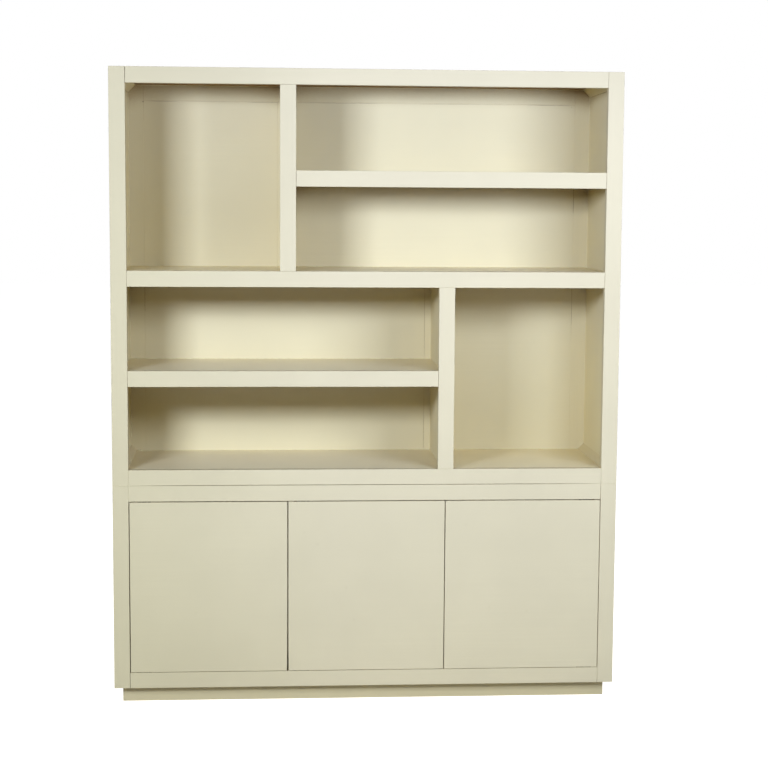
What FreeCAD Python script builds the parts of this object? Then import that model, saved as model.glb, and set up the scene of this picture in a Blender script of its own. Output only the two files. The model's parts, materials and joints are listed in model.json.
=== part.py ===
import FreeCAD, Part
import math
import os

import Sketcher

# Bookcase with cabinet doors: an open upper unit standing on a closed base unit, both with a
# face frame of one member width, on a set-back plinth. Millimetres. X runs to the right, Y from
# the front to the back, Z up. The origin is the middle of the footprint, on the floor.

doc = FreeCAD.newDocument("Bookcase")
sheet = doc.addObject("Spreadsheet::Sheet", "Sizes")
nodes = []


class Dim:
    """A length: its value now, and the expression that keeps it tied to the sheet."""

    def __init__(self, value, text):
        self.value = value
        self.text = text

    def combine(self, sign, other, result):
        return Dim(result, f"({self.text} {sign} {as_dim(other).text})")

    def __add__(self, other):
        return self.combine("+", other, self.value + as_dim(other).value)

    def __sub__(self, other):
        return self.combine("-", other, self.value - as_dim(other).value)

    def __mul__(self, other):
        return self.combine("*", other, self.value * as_dim(other).value)

    def __truediv__(self, other):
        return self.combine("/", other, self.value / as_dim(other).value)

    def __neg__(self):
        return Dim(-self.value, f"(0 mm - {self.text})")


def as_dim(number):
    """A plain number as a Dim; a Dim is passed through."""
    return number if isinstance(number, Dim) else Dim(float(number), f"{float(number):g}")


def mm(number):
    """A fixed length in millimetres."""
    return Dim(float(number), f"{float(number):g} mm")


def cell(alias, value, note):
    """One row of the sheet: its name, its value in millimetres or degrees, and what it is."""
    row = cell.row
    cell.row += 1
    sheet.set(f"A{row}", alias)
    sheet.set(f"B{row}", f"{value:g}")
    sheet.set(f"C{row}", note)
    sheet.setAlias(f"B{row}", alias)
    return Dim(float(value), f"Sizes.{alias} * 1 mm")


cell.row = 1

# ---------------------------------------------------------------- driving dimensions

width = cell("overall_width", 1600, "outside width of both units")
depth = cell("overall_depth", 450, "front of the face frame to the back")
height = cell("overall_height", 2000, "floor to the top")
base_top_z = cell("base_height", 700, "floor to the joint between the two units")
floor_gap = cell("floor_gap", 50, "floor to the underside of the base unit")
plinth_setback = cell("plinth_setback", 32, "face frame to the front of the plinth")

member = cell("member_width", 50, "face width of every stile, rail and lipping")
frame_t = cell("frame_thickness", 25, "thickness of the face frame")
panel = cell("panel_thickness", 25, "sides, tops, bottoms and shelves")
board = cell("divider_thickness", 18, "dividers, partitions and loose shelves")
back_t = cell("back_thickness", 12, "back frame and back panels")
rebate = cell("rebate_width", 10, "how far the back is let into the sides")
housing = cell("housing_depth", 6, "how far a board's end is let into its neighbour")
arris = cell("arris", 0.6, "eased edge of every painted frame member")
low_batten_leg = cell("low_batten_leg", 20, "legs of the triangular battens on the lowest shelf")
high_batten_leg = cell("high_batten_leg", 25, "legs of the triangular battens under the top")

door_t = cell("door_thickness", 22, "slab doors")
door_gap = cell("door_gap", 3, "between two doors")
head_gap = cell("head_gap", 2.5, "above the doors")
foot_gap = cell("foot_gap", 1.5, "below the doors")
stile_gap = cell("stile_gap", 2, "between a door and the stile beside it")
door_edge = cell("door_edge_radius", 1, "rounded front edges of the doors")
door_pitch = cell("door_pitch", 500, "centre to centre of the doors")
partition_setback = cell("partition_setback", 31, "front plane to the partitions' front edges")

pivot_in = cell("pivot_inset", 22, "door's hinge edge to the pivot axis")
pivot_back = cell("pivot_setback", 7, "door's front face to the pivot axis")
pin_r = cell("pin_radius", 2.5, "pivot pin")
pin_play = cell("pin_play", 0.05, "radial clearance of the pin in the door leaf")
leaf_r = cell("leaf_radius", 5, "half the width of a pivot leaf, and its rounded ends")
leaf_l = cell("leaf_length", 45, "pivot axis to the centre of the leaf's far end")
leaf_t = cell("leaf_thickness", 2.5, "pivot leaf")
lift = cell("bearing_play", 0.05, "clearance between the bearing collars and the door leaves")

screw_r = cell("screw_radius", 1.5, "shank of the small countersunk screws")
screw_head_r = cell("screw_head_radius", 2.9, "head of the small countersunk screws")
screw_l = cell("screw_length", 16, "small countersunk screws")
screw_play = cell("screw_play", 0.05, "clearance round a screw")
head_cone = cell("screw_head_height", 1.4, "countersunk heads, top to shank")
pan_head_t = cell("pan_head_thickness", 2, "height of the pan heads")
latch_screw_l = cell("latch_screw_length", 14, "under the head of a latch screw")
unit_screw_r = cell("unit_screw_radius", 2.2, "shank of the screws that join the two units")
unit_head_r = cell("unit_screw_head_radius", 4.4, "head of the screws that join the two units")
unit_screw_l = cell("unit_screw_length", 40, "under the head of those screws")
unit_screw_y = cell("unit_screw_offset", 120, "those screws to the middle of the depth")

latch_w = cell("latch_width", 16, "latch housing, off the partition")
latch_h = cell("latch_height", 14, "latch housing")
latch_l = cell("latch_length", 60, "latch housing, front to back")
latch_z = cell("latch_z", 560, "height of the latches' axes")
plunger_r = cell("plunger_radius", 4, "latch plunger")
plunger_l = cell("plunger_length", 34, "latch plunger")
plunger_play = cell("plunger_play", 0.1, "radial clearance of the plunger in its housing")
plunger_travel = cell("plunger_travel", 3, "how far a push sends the plunger in")
strike_r = cell("strike_half_width", 8, "half the side of the square strike plate on the door")
strike_t = cell("strike_thickness", 1.2, "strike plate on the door")
strike_gap = cell("strike_gap", 0.4, "plunger tip to the strike plate, door shut")

shelf_z = cell("loose_shelf_z", 372, "underside of the loose shelves")
shelf_pin_r = cell("shelf_pin_radius", 2.5, "shelf pins")
shelf_pin_l = cell("shelf_pin_length", 16, "shelf pins, half of it in the board")
pin_pitch = cell("pin_hole_pitch", 32, "rows of pin holes")
shelf_play = cell("shelf_play", 1, "loose shelf to the boards beside it")

doc.recompute()

# ---------------------------------------------------------------- places worked out from them

left = -width / 2
right = width / 2
front = -depth / 2
rear = depth / 2
frame_back = front + frame_t
back_face = rear - back_t
side_in = width / 2 - panel
opening_x = width / 2 - member
opening_z0 = floor_gap + member
opening_z1 = base_top_z - member
divider_x = door_pitch / 2
half_board = board / 2
bay_floor = base_top_z + member
middle_z = (base_top_z + height) / 2
middle_top = middle_z + member / 2
middle_low = middle_z - member / 2
bay_top = height - member
upper_half_top = (middle_top + bay_top) / 2 + member / 2
lower_half_top = (bay_floor + middle_low) / 2 + member / 2
door_z0 = opening_z0 + foot_gap
door_z1 = opening_z1 - head_gap
latch_front = front + partition_setback + mm(3)
plunger_y0 = front + door_t + strike_t + strike_gap
bore_l = plunger_y0 + plunger_l + plunger_travel + mm(1) - latch_front
latch_screw_y = bore_l + mm(8)
latch_floor = mm(6)

# ---------------------------------------------------------------- modelling helpers


def new_body(label, corner):
    """An empty body placed at its lowest left front corner."""
    body = doc.addObject("PartDesign::Body", label)
    body.Label = label
    place(body, corner)
    return body


def place(item, corner):
    """Put an object's origin at a corner of three Dims, tied to the sheet."""
    item.Placement = FreeCAD.Placement(FreeCAD.Vector(*(c.value for c in corner)), FreeCAD.Rotation())
    for axis, where in zip("xyz", corner):
        item.setExpression(f".Placement.Base.{axis}", where.text)


def sketch_on(body, role, offset=None):
    """A sketch on one of the body's own origin planes, moved along the plane's normal."""
    sketch = body.newObject("Sketcher::SketchObject", body.Label + "_sketch")
    origin_plane = next(f for f in body.Origin.OriginFeatures if f.Role == role)
    sketch.AttachmentSupport = [(origin_plane, "")]
    sketch.MapMode = "FlatFace"
    if offset is not None:
        sketch.AttachmentOffset.Base = FreeCAD.Vector(0, 0, offset.value)
        sketch.setExpression(".AttachmentOffset.Base.z", offset.text)
    return sketch


def tie(sketch, kind, references, length):
    """Add a dimension to a sketch and bind it to the sheet."""
    index = sketch.addConstraint(Sketcher.Constraint(kind, *references, length.value))
    sketch.setExpression(f"Constraints[{index}]", length.text)


def pin_point(sketch, geometry, point, x, y):
    """Hold a point of a sketch at x, y from the sketch's origin."""
    for kind, axis_line, length in (("DistanceX", -2, x), ("DistanceY", -1, y)):
        if abs(length.value) < 1e-9:
            sketch.addConstraint(Sketcher.Constraint("PointOnObject", geometry, point, axis_line))
        else:
            tie(sketch, kind, (-1, 1, geometry, point), length)


def draw_polygon(sketch, corners):
    """A closed outline through corners given as pairs of Dims."""
    first = sketch.GeometryCount
    points = [FreeCAD.Vector(x.value, y.value, 0) for x, y in corners]
    for start, end in zip(points, points[1:] + points[:1]):
        sketch.addGeometry(Part.LineSegment(start, end), False)
    count = len(points)
    for side in range(count):
        following = (side + 1) % count
        sketch.addConstraint(Sketcher.Constraint("Coincident", first + side, 2, first + following, 1))
    for side, (x, y) in enumerate(corners):
        pin_point(sketch, first + side, 1, x, y)


def draw_circle(sketch, x, y, radius):
    """A circle of a bound radius, held at x, y."""
    circle = Part.Circle(FreeCAD.Vector(x.value, y.value, 0), FreeCAD.Vector(0, 0, 1), radius.value)
    index = sketch.addGeometry(circle, False)
    pin_point(sketch, index, 3, x, y)
    tie(sketch, "Radius", (index,), radius)


def draw_ring(sketch, x, y, radius, sides):
    """A regular polygon: small round hardware has few sides, to keep its facets few."""
    turns = [2 * math.pi * (count + 0.5) / sides for count in range(sides)]
    draw_polygon(sketch, [(x + radius * math.cos(turn), y + radius * math.sin(turn)) for turn in turns])


def draw_leaf(sketch, x, y, length, radius):
    """A pivot leaf's plan: a half circle round x, y, and straight sides to a square end."""
    toward = 1 if length.value > 0 else -1
    quarter = math.pi / 2
    centre = FreeCAD.Vector(x.value, y.value, 0)
    rise = FreeCAD.Vector(0, radius.value, 0)
    reach = FreeCAD.Vector(length.value, 0, 0)
    circle = Part.Circle(centre, FreeCAD.Vector(0, 0, 1), radius.value)
    ends = (quarter, 3 * quarter) if toward > 0 else (-quarter, quarter)
    first, last = (rise, -rise) if toward > 0 else (-rise, rise)
    arc = sketch.addGeometry(Part.ArcOfCircle(circle, *ends), False)
    near_side = sketch.addGeometry(Part.LineSegment(centre + last, centre + last + reach), False)
    far_end = sketch.addGeometry(Part.LineSegment(centre + last + reach, centre + first + reach), False)
    other_side = sketch.addGeometry(Part.LineSegment(centre + first + reach, centre + first), False)
    for one, one_end, other, other_end in ((near_side, 2, far_end, 1), (far_end, 2, other_side, 1)):
        sketch.addConstraint(Sketcher.Constraint("Coincident", one, one_end, other, other_end))
    for one, one_end, other, other_end in ((arc, 2, near_side, 1), (other_side, 2, arc, 1)):
        sketch.addConstraint(Sketcher.Constraint("Tangent", one, one_end, other, other_end))
    sketch.addConstraint(Sketcher.Constraint("Vertical", far_end))
    pin_point(sketch, arc, 3, x, y)
    tie(sketch, "Radius", (arc,), radius)
    tie(sketch, "DistanceX", (-1, 1, far_end, 1), x + length)


def pad(body, sketch, length, backwards=False):
    """Pad a sketch by a bound length."""
    feature = body.newObject("PartDesign::Pad", body.Label + "_pad")
    feature.Profile = sketch
    feature.Length = length.value
    feature.setExpression("Length", length.text)
    feature.Reversed = backwards
    doc.recompute()
    return feature


def pocket(body, sketch, length, backwards=False):
    """Pocket a sketch by a bound length, and make sure that it removed something."""
    before = body.Shape.Volume
    feature = body.newObject("PartDesign::Pocket", body.Label + "_pocket")
    feature.Profile = sketch
    feature.Length = length.value
    feature.setExpression("Length", length.text)
    feature.Reversed = backwards
    doc.recompute()
    if body.Shape.Volume > before - 1e-6:
        raise RuntimeError(f"{body.Label}: {feature.Name} cuts nothing")
    return feature


def cut_box(body, x, y, z):
    """Cut a box out of a body: three pairs of Dims from the body's own corner."""
    sketch = sketch_on(body, "XY_Plane", z[1])
    draw_polygon(sketch, [(x[0], y[0]), (x[1], y[0]), (x[1], y[1]), (x[0], y[1])])
    pocket(body, sketch, z[1] - z[0])


def drill(body, role, mouth, centres, radius, length, backwards=False, sides=None):
    """Drill holes, round or many-sided: mouth is the plane's offset, and they run against its normal."""
    sketch = sketch_on(body, role, mouth)
    for x, y in centres:
        if sides is None:
            draw_circle(sketch, x, y, radius)
        else:
            draw_ring(sketch, x, y, radius, sides)
    pocket(body, sketch, length, backwards)


def screw_holes(body, role, mouth, centres, radius, length, backwards=False):
    """Drill holes for small screws, with the few sides that the screws have."""
    drill(body, role, mouth, centres, radius + screw_play, length, backwards, SCREW_SIDES)


def edges_where(shape, test):
    """Names of the edges whose every vertex and middle pass a test."""
    found = []
    for number, edge in enumerate(shape.Edges, start=1):
        middle = edge.valueAt((edge.FirstParameter + edge.LastParameter) / 2)
        if all(test(point) for point in [vertex.Point for vertex in edge.Vertexes] + [middle]):
            found.append(f"Edge{number}")
    return found


def dress(body, kind, size_name, size, test):
    """Fillet or chamfer the edges of a body's tip that pass a test, in its own frame."""
    base = body.Tip
    feature = body.newObject(f"PartDesign::{kind}", body.Label + "_" + kind.lower())
    feature.Base = (base, edges_where(base.Shape, test))
    setattr(feature, size_name, size.value)
    feature.setExpression(size_name, size.text)
    doc.recompute()
    return feature


def slab(label, x, y, z):
    """A plain board: its footprint padded to its height."""
    body = new_body(label, (x[0], y[0], z[0]))
    sketch = sketch_on(body, "XY_Plane")
    zero = mm(0)
    along, across = x[1] - x[0], y[1] - y[0]
    draw_polygon(sketch, [(zero, zero), (along, zero), (along, across), (zero, across)])
    pad(body, sketch, z[1] - z[0])
    return body


def ease_front(body):
    """Take the arris off the four front edges of a frame member."""
    dress(body, "Chamfer", "Size", arris, lambda point: abs(point.y) < 1e-6)


def member_piece(label, x, z):
    """A stile, rail or lipping of the face frame, with eased front edges."""
    body = slab(label, x, (front, frame_back), z)
    ease_front(body)
    return body


def mirrored(source, name, base, normal):
    """A mirror image of an object in a plane through base."""
    image = doc.addObject("Part::Mirroring", name)
    image.Source = source
    image.Base = FreeCAD.Vector(*(c.value for c in base))
    for axis, where in zip("xyz", base):
        image.setExpression(f".Base.{axis}", where.text)
    image.Normal = normal
    doc.recompute()
    return image


def group(label, members):
    """Several separate solids that share one node."""
    compound = doc.addObject("Part::Compound", label)
    compound.Label = label
    compound.Links = members
    doc.recompute()
    return compound


def keep(item, label=None):
    """Put an object on the list of nodes that are written out."""
    if label is not None:
        item.Label = label
    nodes.append(item)
    return item


SCREW_SIDES = 8
ROUND_SIDES = 12
LATCH_BORE_SIDES = 24
ZERO = mm(0)
ORIGIN = (ZERO, ZERO, ZERO)
ACROSS = FreeCAD.Vector(1, 0, 0)
ALONG = FreeCAD.Vector(0, 1, 0)

# ---------------------------------------------------------------- carcass sides


def side_board(label, is_left, z, housings):
    """A side with a rebate for the back, and a housing for each board that meets it."""
    x = (left, -side_in) if is_left else (side_in, right)
    body = slab(label, x, (frame_back, rear), z)
    inner = panel if is_left else ZERO
    inward = -1 if is_left else 1
    full_z = (ZERO, z[1] - z[0])

    def span(depth_in):
        """The strip of the board from its inner face, depth_in deep, lowest X first."""
        return (inner - depth_in, inner) if inward < 0 else (inner, inner + depth_in)

    cut_box(body, span(rebate), (back_face - frame_back, rear - frame_back), full_z)
    for board_z0, board_z1 in housings:
        cut_box(body, span(housing), (ZERO, back_face - frame_back), (board_z0 - z[0], board_z1 - z[0]))
    return body


def under(top):
    """The height range of a board whose top is at top."""
    return (top - panel, top)


def drill_pin_rows(body, face_x, length, backwards):
    """Two rows of shelf-pin holes in a side or a partition, round the loose shelf."""
    bottom = body.Placement.Base.z
    first = shelf_pin_z - pin_pitch - mm(bottom)
    start = mm(body.Placement.Base.y)
    centres = [(y - start, first + pin_pitch * step) for y in pin_rows_y for step in range(3)]
    radius = shelf_pin_r + pin_play
    drill(body, "YZ_Plane", face_x, centres, radius, length, backwards, ROUND_SIDES)


pin_rows_y = (frame_back + mm(80), back_face - mm(60))
shelf_pin_z = shelf_z - shelf_pin_r * math.cos(math.pi / ROUND_SIDES)

for name, is_left, half_top in (("left", True, lower_half_top), ("right", False, upper_half_top)):
    boards = [under(height), under(middle_top), under(bay_floor), under(half_top)]
    keep(side_board(f"upper_side_{name}", is_left, (base_top_z, height), boards))

for name, is_left in (("left", True), ("right", False)):
    boards = [under(base_top_z), under(opening_z0)]
    side = side_board(f"base_side_{name}", is_left, (floor_gap, base_top_z), boards)
    if is_left:
        drill_pin_rows(side, panel, shelf_pin_l / 2, False)
    else:
        drill_pin_rows(side, ZERO, shelf_pin_l / 2, True)
    keep(side)

# ---------------------------------------------------------------- boards of the upper unit

board_y = (frame_back, back_face)
let_in = (-side_in - housing, side_in + housing)


def divider_groove(body, centre_x, from_below):
    """A housing across a horizontal board for the end of a divider."""
    middle = centre_x - let_in[0]
    x = (middle - half_board, middle + half_board)
    z = (ZERO, housing) if from_below else (panel - housing, panel)
    cut_box(body, x, (ZERO, back_face - frame_back), z)


upper_top = slab("upper_top", let_in, board_y, under(height))
divider_groove(upper_top, -divider_x, True)
keep(upper_top)

middle_shelf = slab("middle_shelf", let_in, board_y, under(middle_top))
divider_groove(middle_shelf, -divider_x, False)
divider_groove(middle_shelf, divider_x, True)
keep(middle_shelf)

upper_bottom = slab("upper_bottom", let_in, board_y, under(bay_floor))
divider_groove(upper_bottom, divider_x, False)
keep(upper_bottom)


def divider(label, centre_x, z, shelf_top, groove_right):
    """An upright divider with a housing in one face for the half shelf."""
    body = slab(label, (centre_x - half_board, centre_x + half_board), board_y, z)
    x = (board - housing, board) if groove_right else (ZERO, housing)
    shelf = under(shelf_top)
    cut_box(body, x, (ZERO, back_face - frame_back), (shelf[0] - z[0], shelf[1] - z[0]))
    return body


upper_divider_z = (middle_top - housing, height - panel + housing)
lower_divider_z = (bay_floor - housing, middle_top - panel + housing)
keep(divider("upper_divider", -divider_x, upper_divider_z, upper_half_top, True))
keep(divider("lower_divider", divider_x, lower_divider_z, lower_half_top, False))

upper_shelf_x = (-divider_x + half_board - housing, side_in + housing)
lower_shelf_x = (-side_in - housing, divider_x - half_board + housing)
keep(slab("upper_half_shelf", upper_shelf_x, board_y, under(upper_half_top)))
keep(slab("lower_half_shelf", lower_shelf_x, board_y, under(lower_half_top)))

# ---------------------------------------------------------------- face frame of the upper unit

between = (-opening_x, opening_x)
left_stile_x = (left, -opening_x)
right_stile_x = (opening_x, right)
half_member = member / 2

upper_frame = (
    ("upper_stile_left", left_stile_x, (base_top_z, height)),
    ("upper_stile_right", right_stile_x, (base_top_z, height)),
    ("upper_top_rail", between, (bay_top, height)),
    ("upper_bottom_rail", between, (base_top_z, bay_floor)),
    ("middle_shelf_lipping", between, (middle_low, middle_top)),
    ("upper_divider_stile", (-divider_x - half_member, -divider_x + half_member), (middle_top, bay_top)),
    ("lower_divider_stile", (divider_x - half_member, divider_x + half_member), (bay_floor, middle_low)),
    ("upper_half_lipping", (-divider_x + half_member, opening_x), (upper_half_top - member, upper_half_top)),
    ("lower_half_lipping", (-opening_x, divider_x - half_member), (lower_half_top - member, lower_half_top)),
)
for label, x, z in upper_frame:
    keep(member_piece(label, x, z))

# ---------------------------------------------------------------- glue battens and cleats

battens = []
for name, corner_z, leg, rise in (("low", bay_floor, low_batten_leg, low_batten_leg),
                                  ("high", height - panel, high_batten_leg, -high_batten_leg)):
    batten = new_body(f"batten_{name}", (-side_in, frame_back, corner_z))
    batten_sketch = sketch_on(batten, "XZ_Plane")
    draw_polygon(batten_sketch, [(ZERO, ZERO), (leg, ZERO), (ZERO, rise)])
    pad(batten, batten_sketch, back_face - frame_back, backwards=True)
    battens += [batten, mirrored(batten, f"batten_{name}_right", ORIGIN, ACROSS)]
keep(group("corner_battens", battens))

cleat_z = (base_top_z, bay_floor - panel)
cleat_x = ((-side_in, -side_in + member), (-half_member, half_member), (side_in - member, side_in))
unit_screw_rows = (-unit_screw_y, unit_screw_y)
cleats = []
for count, x in enumerate(cleat_x):
    cleat = slab(f"cleat_{count}", x, board_y, cleat_z)
    centres = [(half_member, y - frame_back) for y in unit_screw_rows]
    screw_holes(cleat, "XY_Plane", ZERO, centres, unit_screw_r, unit_screw_l - panel + mm(1), True)
    cleats.append(cleat)
keep(group("bottom_cleats", cleats))

# ---------------------------------------------------------------- back of the upper unit

back_y = (back_face, rear)
back_edge = side_in + rebate
seam_x = side_in - member
mullion_half = mm(30)
back_seam_top = height - panel - member
hidden_rail_top = middle_top - mm(10)
hidden_rail_low = hidden_rail_top - member


def back_piece(name, x, z):
    """A flush piece of the back, with the arris off its inner face, which is its front."""
    body = slab(name, x, back_y, z)
    ease_front(body)
    return body


back_stile = back_piece("back_stile", (-back_edge, -seam_x), (base_top_z, height))
keep(group("back_stiles", [back_stile, mirrored(back_stile, "back_stile_right", ORIGIN, ACROSS)]))

rail_ranges = (("top", back_seam_top, height), ("middle", hidden_rail_low, hidden_rail_top),
               ("bottom", base_top_z, bay_floor - mm(10)))
rails = [back_piece(f"back_rail_{name}", (-seam_x, seam_x), (z0, z1)) for name, z0, z1 in rail_ranges]
keep(group("back_rails", rails))

upper_row = (hidden_rail_top, back_seam_top)
lower_row = (bay_floor - mm(10), hidden_rail_low)
mullions = []
for name, x, z in (("upper", -divider_x, upper_row), ("lower", divider_x, lower_row)):
    mullions.append(back_piece(f"back_mullion_{name}", (x - mullion_half, x + mullion_half), z))
keep(group("back_mullions", mullions))

panel_fields = (
    ("upper_left", (-seam_x, -divider_x - mullion_half), upper_row),
    ("upper_right", (-divider_x + mullion_half, seam_x), upper_row),
    ("lower_left", (-seam_x, divider_x - mullion_half), lower_row),
    ("lower_right", (divider_x + mullion_half, seam_x), lower_row),
)
keep(group("back_panels", [back_piece(f"back_panel_{name}", x, z) for name, x, z in panel_fields]))

# ---------------------------------------------------------------- boards of the base unit


def partition_groove(body, from_below):
    """Two housings across a base board for the ends of the partitions."""
    z = (ZERO, housing) if from_below else (panel - housing, panel)
    for centre_x in (-divider_x, divider_x):
        middle = centre_x - let_in[0]
        y = (front + partition_setback - frame_back, back_face - frame_back)
        cut_box(body, (middle - half_board, middle + half_board), y, z)


base_top = slab("base_top", let_in, board_y, under(base_top_z))
partition_groove(base_top, True)
unit_screw_x = [x0 + half_member for x0, _ in cleat_x]
centres = [(x - let_in[0], y - frame_back) for x in unit_screw_x for y in unit_screw_rows]
screw_holes(base_top, "XY_Plane", panel, centres, unit_screw_r, panel)
keep(base_top)

base_bottom = slab("base_bottom", let_in, board_y, under(opening_z0))
partition_groove(base_bottom, False)
keep(base_bottom)

partition_y = (front + partition_setback, back_face)
partition_z = (opening_z0 - housing, base_top_z - panel + housing)
partition_x = (-divider_x - half_board, -divider_x + half_board)
partition = slab("partition", partition_x, partition_y, partition_z)
drill_pin_rows(partition, board, board, False)
latch_screw_spot = (latch_front + latch_screw_y - partition_y[0], latch_z - partition_z[0])
screw_holes(partition, "YZ_Plane", board, [latch_screw_spot], screw_r, board)
keep(group("base_partitions", [partition, mirrored(partition, "partition_right", ORIGIN, ACROSS)]))

keep(slab("base_back", (-back_edge, back_edge), back_y, (floor_gap, base_top_z)))

# ---------------------------------------------------------------- loose shelves and their pins

shelf_y = (frame_back + mm(50), back_face - mm(2))
shelf_spans = ((-side_in, -divider_x - half_board), (-divider_x + half_board, divider_x - half_board),
               (divider_x + half_board, side_in))
loose_shelves = []
for count, (x0, x1) in enumerate(shelf_spans):
    x = (x0 + shelf_play, x1 - shelf_play)
    loose = slab(f"loose_shelf_{count}", x, shelf_y, (shelf_z, shelf_z + board))
    dress(loose, "Chamfer", "Size", arris, lambda point: abs(point.y) < 1e-6)
    loose_shelves.append(loose)
keep(group("base_shelves", loose_shelves))


def shelf_pin(name, x, y):
    """A steel pin along X, half of it in a side or a partition."""
    body = new_body(name, (x, y, shelf_pin_z))
    sketch = sketch_on(body, "YZ_Plane")
    draw_ring(sketch, ZERO, ZERO, shelf_pin_r, ROUND_SIDES)
    pad(body, sketch, shelf_pin_l)
    return body


pins = []
buried = shelf_pin_l / 2
for x0, x1 in shelf_spans:
    for y in pin_rows_y:
        pins.append(shelf_pin(f"shelf_pin_{len(pins)}", x0 - buried, y))
        pins.append(shelf_pin(f"shelf_pin_{len(pins)}", x1 - buried, y))
keep(group("shelf_pins", pins))

# ---------------------------------------------------------------- doors and their pivots

# Plan of a pivot, left door: the door turns about an axis let in from its hinge edge and its
# front face, so its hinge edge swings in behind the stile while the rest swings out.

screw_spots = (mm(16), mm(34))
mortise_play = mm(0.1)


def door_span(index):
    """The X range of a door, counted 0, 1, 2 from the left."""
    ends = ((-opening_x + stile_gap, -divider_x - door_gap / 2),
            (-divider_x + door_gap / 2, divider_x - door_gap / 2))
    return ends[index]


def cut_mortise(body, x, y, length, mouth, upwards=False):
    """Let a leaf's mortise down into the top of a body, or upwards into its underside."""
    sketch = sketch_on(body, "XY_Plane", mouth)
    play = mortise_play if length.value > 0 else -mortise_play
    draw_leaf(sketch, x, y, length + play, leaf_r + mortise_play)
    pocket(body, sketch, leaf_t, upwards)


def make_door(label, x):
    """A slab door, hinged at its left: mortises, pin bores and screw holes in both ends."""
    body = slab(label, x, (front, front + door_t), (door_z0, door_z1))
    tall = door_z1 - door_z0
    dress(body, "Fillet", "Radius", door_edge, lambda point: abs(point.y) < 1e-6)
    holes = [(pivot_in + spot, pivot_back) for spot in screw_spots]
    bore_r = pin_r + mm(0.5)
    for mouth, is_bottom in ((tall, False), (ZERO, True)):
        cut_mortise(body, pivot_in, pivot_back, leaf_l, mouth, is_bottom)
        drill(body, "XY_Plane", mouth, [(pivot_in, pivot_back)], bore_r, mm(13), is_bottom, ROUND_SIDES)
        screw_holes(body, "XY_Plane", mouth, holes, screw_r, screw_l + mm(1), is_bottom)
    return body


def leaf_plate(name, corner, with_pin_hole, head_up):
    """A brass pivot leaf: a plate with one round end and countersunk holes."""
    body = new_body(name, corner)
    sketch = sketch_on(body, "XY_Plane")
    draw_leaf(sketch, ZERO, ZERO, leaf_l, leaf_r)
    pad(body, sketch, leaf_t)
    if with_pin_hole:
        drill(body, "XY_Plane", leaf_t, [(ZERO, ZERO)], pin_r + pin_play, leaf_t)
    screw_holes(body, "XY_Plane", leaf_t, [(spot, ZERO) for spot in screw_spots], screw_r, leaf_t)
    mouth_z = leaf_t.value if head_up else 0
    reach = (screw_r + screw_play).value + 1e-3
    spots = [spot.value for spot in screw_spots]

    def on_screw_mouth(point):
        near = min(math.hypot(point.x - spot, point.y) for spot in spots)
        return abs(point.z - mouth_z) < 1e-6 and near < reach

    dress(body, "Chamfer", "Size", head_cone + screw_play * 2, on_screw_mouth)
    return body


def add_ring(body, role, offset, radius, length, backwards):
    """Pad a many-sided ring on a plane of the body: one step of a small screw."""
    sketch = sketch_on(body, role, offset)
    draw_ring(sketch, ZERO, ZERO, radius, SCREW_SIDES)
    pad(body, sketch, length, backwards)


def countersunk_screw(name, corner, points_down):
    """A countersunk screw along Z, its head's face at the corner's height."""
    body = new_body(name, corner)
    add_ring(body, "XY_Plane", ZERO, screw_head_r, head_cone, points_down)
    under_head = -head_cone.value if points_down else head_cone.value
    cone = head_cone - screw_play * 4
    dress(body, "Chamfer", "Size", cone, lambda point: abs(point.z - under_head) < 1e-6)
    add_ring(body, "XY_Plane", ZERO, screw_r, screw_l, points_down)
    return body


def pan_screw(name, corner, role, backwards, shank_r, head_r, length):
    """A pan-head screw: the underside of its head is at the corner, its shank runs along the normal."""
    body = new_body(name, corner)
    add_ring(body, role, ZERO, head_r, pan_head_t, not backwards)
    add_ring(body, role, ZERO, shank_r, length, backwards)
    return body


def frame_leaf(name, corner, is_bottom):
    """A frame leaf with its pin and bearing collar standing out of it towards the door."""
    body = leaf_plate(name, corner, False, is_bottom)
    face = leaf_t if is_bottom else ZERO
    gap = foot_gap if is_bottom else head_gap
    collar = sketch_on(body, "XY_Plane", face)
    draw_ring(collar, ZERO, ZERO, leaf_r - mm(0.5), ROUND_SIDES)
    pad(body, collar, gap - lift, backwards=not is_bottom)
    pin = sketch_on(body, "XY_Plane", face)
    draw_circle(pin, ZERO, ZERO, pin_r)
    pad(body, pin, gap + leaf_t + mm(8), backwards=not is_bottom)
    return body


def door_hardware(side, x0):
    """Leaves and screws of a door hinged at its left, whose hinge edge is at x0."""
    axis_x = x0 + pivot_in
    axis_y = front + pivot_back
    leaves = [leaf_plate(f"{side}_leaf_top", (axis_x, axis_y, door_z1 - leaf_t), True, True),
              leaf_plate(f"{side}_leaf_low", (axis_x, axis_y, door_z0), True, False)]
    screws = []
    for count, spot in enumerate(screw_spots):
        name = f"{side}_screw_{count}"
        screws.append(countersunk_screw(name + "_top", (axis_x + spot, axis_y, door_z1), True))
        screws.append(countersunk_screw(name + "_low", (axis_x + spot, axis_y, door_z0), False))
    fixed = [frame_leaf(f"{side}_frame_leaf_top", (axis_x, axis_y, opening_z1), False),
             frame_leaf(f"{side}_frame_leaf_low", (axis_x, axis_y, opening_z0 - leaf_t), True)]
    fixed_screws = []
    for count, spot in enumerate(screw_spots):
        name = f"{side}_frame_screw_{count}"
        fixed_screws.append(countersunk_screw(name + "_top", (axis_x + spot, axis_y, opening_z1), False))
        fixed_screws.append(countersunk_screw(name + "_low", (axis_x + spot, axis_y, opening_z0), True))
    return leaves, screws, fixed, fixed_screws


# ---------------------------------------------------------------- push latches

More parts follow.
